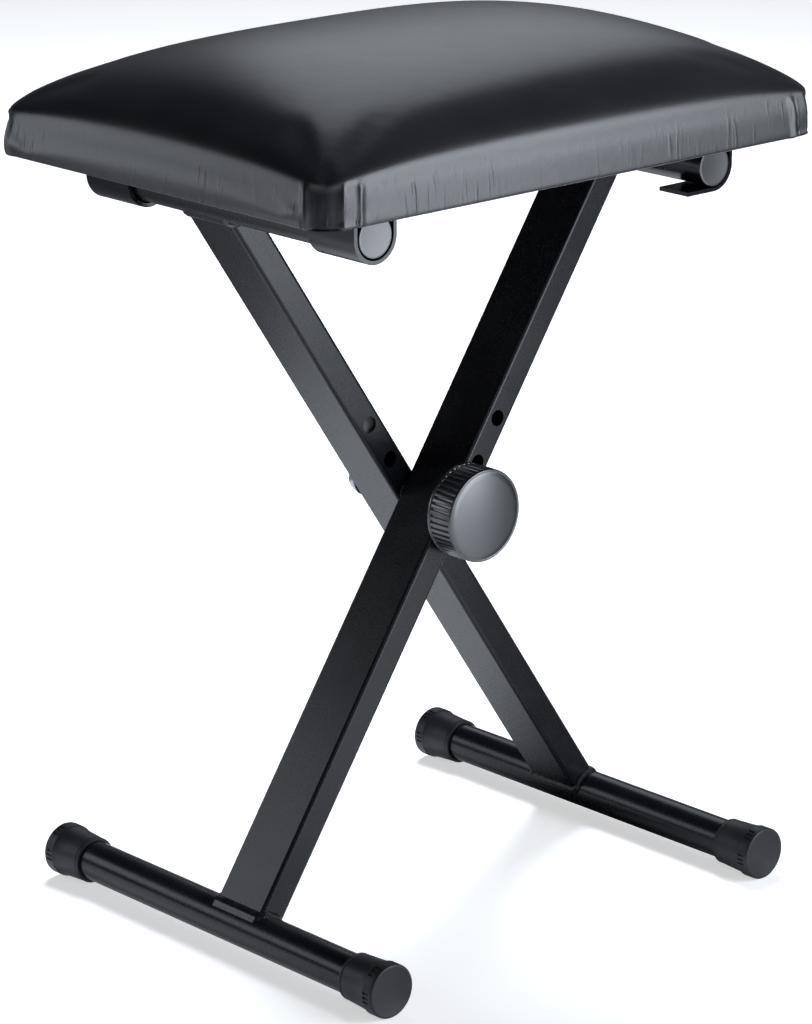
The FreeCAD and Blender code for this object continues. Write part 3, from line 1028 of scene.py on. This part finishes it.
@dataclass
class SeatCushion:
    """The upholstered seat: a crowned vinyl cover, folded in at its corners and under the board."""

    band_height: float = 0.0235
    crown_height: float = 0.0482
    power_long: float = 2.8
    power_short: float = 1.8
    fullness: float = 0.43
    corner_radius: float = 0.018
    hem_thickness: float = 0.0011
    cells_long: int = 56
    cells_short: int = 42
    edge_crowding: float = 0.9
    side_bulge: float = 0.0016
    top_inset: float = 0.0012
    swell: float = 0.0018
    pressure: float = 4.0
    frames: int = 20
    board_height: float = 0.0133
    wall: float = 0.0008
    band_rings: tuple[float, ...] = (0.0188, 0.0141, 0.0094, 0.0047, 0.0024, 0.0009)
    hem_inset: float = 0.0004
    hem_rings: tuple[float, ...] = (0.0009, 0.0030, 0.0080, 0.0160, 0.0240)
    board_clearance: float = 0.0004
    material: bpy.types.Material | None = None
    low: Vector = field(default_factory=lambda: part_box("seat_cover")[0])
    high: Vector = field(default_factory=lambda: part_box("seat_cover")[1])

    @property
    def half_length(self) -> float:
        """Half of the seat's long side."""
        return self.high.x

    @property
    def half_width(self) -> float:
        """Half of the seat's short side."""
        return self.high.y

    def build(self) -> None:
        """Shape the cover, swell it, fold its corners and finish it."""
        piece = self.sheet()
        self.wrap_sides(piece)
        self.swell_up(piece)
        apply_modifier(piece, "SUBSURF", levels=2, render_levels=2)
        self.fold_corners(piece)
        self.close_hollow(piece)
        make_active(piece)
        bpy.ops.object.shade_smooth()
        finish_piece(piece, self.material, "vinyl", "seat", "seat_cover", "seat_foam")

    def crown_at(self, u: float, v: float) -> float:
        """Shape the crown.

        Args:
            u: A point's share of half the length.
            v: Its share of half the width.

        Returns:
            The share of the crown's height.
        """
        along = max(0.0, 1 - abs(u) ** self.power_long)
        across = max(0.0, 1 - abs(v) ** self.power_short)
        return (along * across) ** self.fullness

    def crowded(self, share: float) -> float:
        """Return a share of the half side, with the cells closer together at the edge."""
        near_edge = math.sin(math.pi / 2 * share)
        return (1 - self.edge_crowding) * share + self.edge_crowding * near_edge

    def rounded(self, u: float, v: float) -> tuple[float, float]:
        """Round the grid's square corners.

        Args:
            u: A grid point's share of half the length.
            v: Its share of half the width.

        Returns:
            Its place in plan.
        """
        length, width = self.half_length, self.half_width
        x, y = abs(u) * length, abs(v) * width
        i = (x - length + self.corner_radius) / self.corner_radius
        j = (y - width + self.corner_radius) / self.corner_radius
        if i > 0 and j > 0:
            reach = max(i, j)
            turn = math.pi / 4 * (j / i if i >= j else 2 - i / j)
            x = length - self.corner_radius * (1 - reach * math.cos(turn))
            y = width - self.corner_radius * (1 - reach * math.sin(turn))
        return math.copysign(x, u), math.copysign(y, v)

    def sheet(self) -> bpy.types.Object:
        """Lay a grid over the seat and raise it to the crown.

        Returns:
            The open sheet.
        """
        deselect_all()
        bpy.ops.mesh.primitive_grid_add(
            x_subdivisions=self.cells_long, y_subdivisions=self.cells_short, size=2.0
        )
        piece = bpy.context.object
        piece.name = "upholstered_cushion"
        piece.data.name = piece.name
        edge = self.low.z + self.band_height
        for vertex in piece.data.vertices:
            u, v = self.crowded(vertex.co.x), self.crowded(vertex.co.y)
            x, y = self.rounded(u, v)
            vertex.co = (x, y, edge + (self.crown_height - self.top_inset) * self.crown_at(u, v))
        return piece

    def wrap_sides(self, piece: bpy.types.Object) -> None:
        """Extrude the sheet's border down the side, round the bottom edge and in under the board."""
        make_active(piece)
        bpy.ops.object.mode_set(mode="EDIT")
        bpy.ops.mesh.select_mode(type="EDGE")
        bpy.ops.mesh.select_all(action="DESELECT")
        mesh = bmesh.from_edit_mesh(piece.data)
        for edge in mesh.edges:
            edge.select = edge.is_boundary
        bmesh.update_edit_mesh(piece.data)
        length = self.half_length + self.side_bulge
        width = self.half_width + self.side_bulge
        height, drawn = self.band_height, self.side_bulge
        for next_height, next_drawn in self.rings():
            bpy.ops.mesh.extrude_region_move(TRANSFORM_OT_translate={"value": (0, 0, next_height - height)})
            bpy.ops.transform.resize(
                value=((length - next_drawn) / (length - drawn), (width - next_drawn) / (width - drawn), 1),
                center_override=(0, 0, 0),
            )
            height, drawn = next_height, next_drawn
        bpy.ops.mesh.select_all(action="SELECT")
        bpy.ops.mesh.normals_make_consistent(inside=False)
        bpy.ops.object.mode_set(mode="OBJECT")

    def rings(self) -> list[tuple[float, float]]:
        """List the rings: down the band, in under the board and up round it.

        Returns:
            The height and the inset of each.
        """
        outside = [(height, self.drawn_in(height)) for height in self.band_rings]
        bulge = self.side_bulge
        under = [(0.0, bulge + self.hem_inset + inset) for inset in self.hem_rings]
        inside = [
            (self.hem_thickness, bulge + self.hem_rings[-1]),
            (self.hem_thickness, bulge + self.wall * 2),
            (self.hem_thickness + self.wall, bulge + self.wall),
            (self.board_height, bulge + self.wall),
            (self.board_height, bulge + self.wall * 3),
        ]
        return outside + under + inside

    def drawn_in(self, height: float) -> float:
        """Return how far the band is drawn in at a height, from its fullest place halfway up."""
        from_middle = 2 * height / self.band_height - 1
        return self.side_bulge * from_middle * from_middle

    def close_hollow(self, piece: bpy.types.Object) -> None:
        """Close the hollow over the board with one flat face."""
        make_active(piece)
        bpy.ops.object.mode_set(mode="EDIT")
        bpy.ops.mesh.select_mode(type="EDGE")
        bpy.ops.mesh.select_all(action="DESELECT")
        bpy.ops.mesh.select_non_manifold(
            extend=False, use_wire=False, use_multi_face=False, use_verts=False
        )
        bpy.ops.mesh.edge_face_add()
        bpy.ops.mesh.select_all(action="SELECT")
        bpy.ops.mesh.normals_make_consistent(inside=False)
        bpy.ops.object.mode_set(mode="OBJECT")

    def swell_up(self, piece: bpy.types.Object) -> None:
        """Inflate the cover a little against its fixed hem, as stretched vinyl over foam."""
        rest = [vertex.co.copy() for vertex in piece.data.vertices]
        hem = piece.vertex_groups.new(name="hem")
        held = self.low.z + self.band_height * 0.12
        hem.add([vertex.index for vertex in piece.data.vertices if vertex.co.z < held], 1.0, "REPLACE")
        cloth = piece.modifiers.new("Cloth", "CLOTH")
        cloth.settings.quality = 6
        cloth.settings.mass = 0.3
        cloth.settings.use_pressure = True
        cloth.settings.uniform_pressure_force = self.pressure
        cloth.settings.vertex_group_mass = hem.name
        cloth.settings.effector_weights.gravity = 0.0
        for number in range(1, self.frames + 1):
            bpy.context.scene.frame_set(number)
        graph = bpy.context.evaluated_depsgraph_get()
        swollen = [vertex.co.copy() for vertex in piece.evaluated_get(graph).data.vertices]
        piece.modifiers.remove(cloth)
        piece.vertex_groups.remove(hem)
        for vertex, before, after in zip(piece.data.vertices, rest, swollen):
            move = after - before
            if move.length > 1e-9:
                vertex.co = before + move.normalized() * self.swell * math.tanh(move.length / self.swell)
        bpy.context.scene.frame_set(1)

    def fold_corners(self, piece: bpy.types.Object) -> None:
        """Press the folded corners into the finished cover, and mark how deep each point lies."""
        folds = CornerFold()
        normals = [vertex.normal.copy() for vertex in piece.data.vertices]
        creased = piece.data.attributes.new(CREASE, "FLOAT", "POINT")
        outer: list[int] = []
        for vertex, normal in zip(piece.data.vertices, normals):
            from_side = self.half_length - abs(vertex.co.x)
            from_front = self.half_width - abs(vertex.co.y)
            outward = Vector((normal.x, normal.y, 0.0))
            depth = folds.depth(from_front, from_side, vertex.co.z - self.low.z)
            if depth == 0 or outward.length < 0.2:
                continue
            if outward.x * vertex.co.x + outward.y * vertex.co.y < 0:
                outward = -outward
            vertex.co -= outward.normalized() * depth
            if normal.x * vertex.co.x + normal.y * vertex.co.y > 0:
                outer.append(vertex.index)
            creased.data[vertex.index].value = min(1.0, max(0.0, depth / folds.gusset_depth))
        self.keep_off_board(piece, outer)

    def keep_off_board(self, piece: bpy.types.Object, outer: list[int]) -> None:
        """Push the folds' outer points out to the board's surface, where they would lie inside it.

        Args:
            piece: The cover.
            outer: The points of its outer face that the folds move.
        """
        group = piece.vertex_groups.new(name="folds")
        group.add(outer, 1.0, "REPLACE")
        apply_modifier(
            piece,
            "SHRINKWRAP",
            target=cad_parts["seat_board"],
            wrap_method="NEAREST_SURFACEPOINT",
            wrap_mode="OUTSIDE",
            offset=self.board_clearance,
            vertex_group=group.name,
        )
        piece.vertex_groups.remove(piece.vertex_groups["folds"])


@dataclass
class CornerFold:
    """The fold of the cover at a corner: a gusset between two panel edges, and a flap beside it."""

    corner_radius: float = 0.0180
    board_inset: float = 0.0012
    board_flat: float = 0.0138
    skin: float = 0.0002
    gusset_start: float = -0.0150
    gusset_end: float = 0.0140
    gusset_depth: float = 0.0030
    flap_end: float = 0.0225
    panel_start: float = 0.0243
    flap_depth: float = 0.0003
    rolled_edge: float = 0.0010
    roll_width: float = 0.0055
    softness: float = 0.0011
    full_height: float = 0.0205
    top_height: float = 0.0275
    reach: float = 0.045

    def room(self, along: float) -> float:
        """Measure how far the cover can be pressed in before it meets the board.

        Args:
            along: The distance round the corner from its middle.

        Returns:
            The free depth.
        """
        sine = max(-1.0, min(1.0, along / (self.corner_radius * math.sqrt(2))))
        flat_reach = self.board_flat / math.sqrt(max(0.25, 1 - sine * sine))
        board = min(self.corner_radius - self.board_inset, flat_reach)
        return self.corner_radius - board - self.skin

    def depth(self, from_front: float, from_side: float, height: float) -> float:
        """Return how far a point is pressed in.

        Args:
            from_front: Distance from the plane of the long side.
            from_side: Distance from the plane of the short side.
            height: Height above the seat's lower edge.

        Returns:
            The depth in metres, negative where the fold stands proud.
        """
        if max(from_front, from_side) > self.reach or min(from_front, from_side) > 0.012:
            return 0.0
        along = from_side - from_front
        gusset = self._between(self.gusset_start, self.gusset_end, along)
        flap = self._between(self.gusset_end - self.softness, self.flap_end, along)
        gap = self._between(self.flap_end, self.panel_start, along)
        deep = min(self.gusset_depth, self.room(along))
        depth = max(gusset * deep, flap * self.flap_depth, gap * self.room(along))
        for edge, side in ((self.gusset_start, -1), (self.panel_start, 1)):
            away = (along - edge) * side / self.roll_width
            if 0 < away < 1:
                depth -= self.rolled_edge * math.sin(math.pi * math.sqrt(away))
        return depth * (1 - smooth_step(self.full_height, self.top_height, height))

    def _between(self, start: float, end: float, along: float) -> float:
        """Return 1 between two places, easing to 0 at both."""
        rise = smooth_step(start, start + self.softness, along)
        return rise * (1 - smooth_step(end - self.softness, end, along))


def smooth_step(low: float, high: float, value: float) -> float:
    """Return 0 below low, 1 above high, and a smooth step in between."""
    share = min(1.0, max(0.0, (value - low) / (high - low)))
    return share * share * (3 - 2 * share)


@dataclass
class FramesAndFittings:
    """The steel frames, brackets, fasteners, board and lining that keep their CAD form."""

    def build(self) -> None:
        """Dress every CAD node that stays in view."""
        coat = PowderCoat().material()
        dress(coat, "rear_leg_tube", "front_leg_tube", "rear_leg_foot_tube", "front_leg_foot_tube")
        dress(coat, "seat_pivot_tube", "seat_hook_tube")
        dress(WeldBead().material(), "rear_leg_welds", "front_leg_welds")
        bracket = PowderCoat(name="bracket_coat", roughness=0.19, peel_height=0.00003).material()
        for end in End:
            word = end.name.lower()
            dress(bracket, "saddle_strap_" + word, "saddle_plate_" + word, "hook_bracket_" + word)
        screw = PlatedSteel("black_oxide", (0.055, 0.056, 0.060), (0.030, 0.030, 0.033), 0.38)
        dress(screw.material(), "saddle_screws", "hook_screws")
        dress(PlatedSteel().material(), "pivot_bolt", "bolt_washer", "knob_washer", "staples")
        brass = PlatedSteel("insert_brass", (0.62, 0.44, 0.17), (0.45, 0.31, 0.12), 0.30)
        dress(brass.material(), "knob_insert")
        dress(MouldedPlastic("spacer_nylon", (0.030, 0.030, 0.030), 0.5).material(), "leg_spacer")
        dress(Plywood().material(), "seat_board")
        dress(Lining().material(), "dust_cover")
        LOG.info("dressed the CAD nodes that stay in view")


@dataclass
class Studio:
    """The photograph's camera, a pale floor and soft lights."""

    camera_place: Point = (-1.61494, -1.77434, 0.97485)
    camera_yaw: float = -42.213
    camera_pitch: float = -17.033
    camera_roll: float = -0.223
    camera_lens: float = 143.53
    floor_size: float = 40.0
    floor_seen: float = 0.55
    # painted reflection: the glow and tint that glossy rays see on the floor to the left of and behind the
    # object, and the soft edges of that area
    painted_reflection_glow: float = 0.32
    painted_reflection_tint: Colour = (0.86, 0.92, 1.0)
    floor_edge: tuple[float, float] = (-0.06, 0.09)
    floor_behind: tuple[float, float] = (0.02, 0.16)
    floor_far: tuple[float, float] = (0.35, 0.46)
    sky_strength: float = 0.07
    dark_side: Point = (-0.46, 0.71, 0.53)
    dark_edge: tuple[float, float] = (0.55, 0.92)
    dark_strength: float = 0.02

    def build(self) -> None:
        """Set up camera, floor, world and lamps."""
        self.camera()
        self.floor()
        self.world()
        self.lamps()
        bpy.context.scene.view_settings.view_transform = "Standard"
        LOG.info("studio is set")

    def camera(self) -> None:
        """Stand the camera where the photograph was taken from."""
        data = bpy.data.cameras.new("camera")
        data.lens = self.camera_lens
        camera = bpy.data.objects.new("camera", data)
        bpy.context.scene.collection.objects.link(camera)
        turn = Matrix.Rotation(math.radians(self.camera_yaw), 4, "Z")
        tip = Matrix.Rotation(math.radians(90 + self.camera_pitch), 4, "X")
        roll = Matrix.Rotation(math.radians(self.camera_roll), 4, "Z")
        camera.matrix_world = Matrix.Translation(self.camera_place) @ turn @ tip @ roll
        bpy.context.scene.camera = camera

    def floor(self) -> None:
        """Lay a pale floor that shows white to the camera and keeps the object's shadow. To glossy rays it
        glows to the left of and behind the object as a painted reflection, and is darkened to a fifth of
        its colour elsewhere as painted shade.
        """
        deselect_all()
        bpy.ops.mesh.primitive_plane_add(size=self.floor_size)
        floor = bpy.context.object
        floor.name = "studio_floor"
        graph = Graph("studio_floor")
        rays = graph.node("ShaderNodeLightPath")
        camera_ray = Value(graph, rays.outputs["Is Camera Ray"])
        seen = graph.maths("MAXIMUM", camera_ray, Value(graph, rays.outputs["Is Transmission Ray"]))
        glossy = Value(graph, rays.outputs["Is Glossy Ray"])
        left = self.painted_reflection_share(graph)
        cloud = graph.noise(3.0, 2.0, 0.5)
        colour = graph.mix(cloud, (0.78, 0.78, 0.79), (0.82, 0.82, 0.83))
        # painted shade: to glossy rays the floor outside the painted reflection is darkened to a fifth of
        # its colour
        colour = graph.mix(glossy * (1.0 - left) * 0.8, colour, (0.0, 0.0, 0.0))
        paint = graph.node("ShaderNodeBsdfDiffuse", {}, {"Color": colour})
        # painted reflection: glossy rays see the floor glow, tinted blue, where the painted reflection
        # share is 1
        tint = graph.mix(glossy, (1.0, 1.0, 1.0), self.painted_reflection_tint)
        # white to the camera everywhere, plus a painted reflection glow that only glossy rays see, to the
        # left of and behind the object
        strength = seen * self.floor_seen + glossy * left * self.painted_reflection_glow
        glow = graph.node("ShaderNodeEmission", {}, {"Color": tint, "Strength": strength})
        both = graph.node(
            "ShaderNodeAddShader", {}, {0: Value(graph, paint.outputs[0]), 1: Value(graph, glow.outputs[0])}
        )
        graph.node("ShaderNodeOutputMaterial", {}, {"Surface": Value(graph, both.outputs[0])})
        floor.data.materials.append(graph.material)

    def painted_reflection_share(self, graph: Graph) -> Value:
        """Mark the floor's painted reflection: the part to the left of the object and behind it.

        Args:
            graph: The floor's node tree.

        Returns:
            1 on that part of the floor and 0 on the rest, with a soft edge.
        """
        split = graph.node("ShaderNodeSeparateXYZ", {}, {0: graph.place()})
        back = Value(graph, split.outputs["Y"])
        across = Value(graph, split.outputs["X"]) * 0.75 + back * 0.66
        behind = back.between(*self.floor_behind) * (1.0 - back.between(*self.floor_far))
        return 1.0 - across.between(*self.floor_edge) * (1.0 - behind)

    def world(self) -> None:
        """Make the world white to the camera and a faint grey to all else, darker to the back left."""
        world = bpy.data.worlds.new("studio_world")
        bpy.context.scene.world = world
        world.use_nodes = True
        tree = world.node_tree
        tree.nodes.clear()
        rays = tree.nodes.new("ShaderNodeLightPath")
        direction = tree.nodes.new("ShaderNodeTexCoord")
        facing = tree.nodes.new("ShaderNodeVectorMath")
        facing.operation = "DOT_PRODUCT"
        facing.inputs[1].default_value = Vector(self.dark_side).normalized()
        dim = tree.nodes.new("ShaderNodeMapRange")
        dim.interpolation_type = "SMOOTHSTEP"
        dim.inputs["From Min"].default_value, dim.inputs["From Max"].default_value = self.dark_edge
        dim.inputs["To Min"].default_value = self.sky_strength
        dim.inputs["To Max"].default_value = self.dark_strength
        sky = tree.nodes.new("ShaderNodeBackground")
        sky.inputs["Color"].default_value = (0.93, 0.96, 1.0, 1.0)
        white = tree.nodes.new("ShaderNodeBackground")
        white.inputs["Color"].default_value = (1.0, 1.0, 1.0, 1.0)
        white.inputs["Strength"].default_value = 1.0
        either = tree.nodes.new("ShaderNodeMixShader")
        output = tree.nodes.new("ShaderNodeOutputWorld")
        tree.links.new(direction.outputs["Generated"], facing.inputs[0])
        tree.links.new(facing.outputs["Value"], dim.inputs["Value"])
        tree.links.new(dim.outputs["Result"], sky.inputs["Strength"])
        tree.links.new(rays.outputs["Is Camera Ray"], either.inputs["Fac"])
        tree.links.new(sky.outputs["Background"], either.inputs[1])
        tree.links.new(white.outputs["Background"], either.inputs[2])
        tree.links.new(either.outputs["Shader"], output.inputs["Surface"])

    def lamps(self) -> None:
        """Hang the soft boxes."""
        boxes = (
            SoftBox("key", (1.0, 1.2, 2.6), (0, 0, 0), (1.0, 1.0), 85.0, False),
            SoftBox("front_right_high", (0.56, -1.10, 0.80), (-0.10, -0.35, 0.65), (0.9, 0.55), 11.0),
            SoftBox("front_right_low", (0.43, -1.22, 0.27), (-0.23, -0.47, 0.27), (0.9, 0.45), 6.4),
            SoftBox("back_left_panel", (-0.85, 0.95, 0.51), (-0.18, 0.21, 0.51), (0.9, 0.42), 2.5),
            SoftBox("back_right_box", (1.75, 1.75, 2.05), (0, 0, 0.5), (1.1, 2.0), 8.2),
            SoftBox("edge_box", (-1.33, -1.70, 1.50), (0, 0, 0.25), (0.30, 0.30), 1.6),
        )
        for box in boxes:
            box.hang()


@dataclass(frozen=True)
class SoftBox:
    """A rectangular lamp: its middle, the place it points at, its sides and its power in watts.

    Glossy surfaces reflect it unless mirrored is False.
    """

    name: str
    place: Point
    aim: Point
    size: tuple[float, float]
    power: float
    mirrored: bool = True
    colour: Colour = (0.86, 0.915, 1.0)

    def hang(self) -> None:
        """Hang the lamp in the scene."""
        data = bpy.data.lights.new(self.name, "AREA")
        data.shape = "RECTANGLE"
        data.size, data.size_y = self.size
        data.energy = self.power
        data.color = self.colour
        lamp = bpy.data.objects.new(self.name, data)
        bpy.context.scene.collection.objects.link(lamp)
        lamp.location = self.place
        lamp.rotation_euler = (Vector(self.aim) - Vector(self.place)).to_track_quat("-Z", "Y").to_euler()
        lamp.visible_glossy = self.mirrored


def main() -> None:
    """Build every sub-assembly in order."""
    logging.basicConfig(level=logging.INFO, format="%(message)s")
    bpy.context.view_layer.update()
    plastic = MouldedPlastic().material()
    Studio().build()
    FramesAndFittings().build()
    FootCap(material=Rubber().material()).build()
    plug_plastic = MouldedPlastic("plug_plastic", roughness=0.32, ior=1.55).material()
    TubePlug(material=plug_plastic).build()
    Knob(material=plastic).build()
    SeatCushion(material=Vinyl().material()).build()


if __name__ == "__main__":
    main()
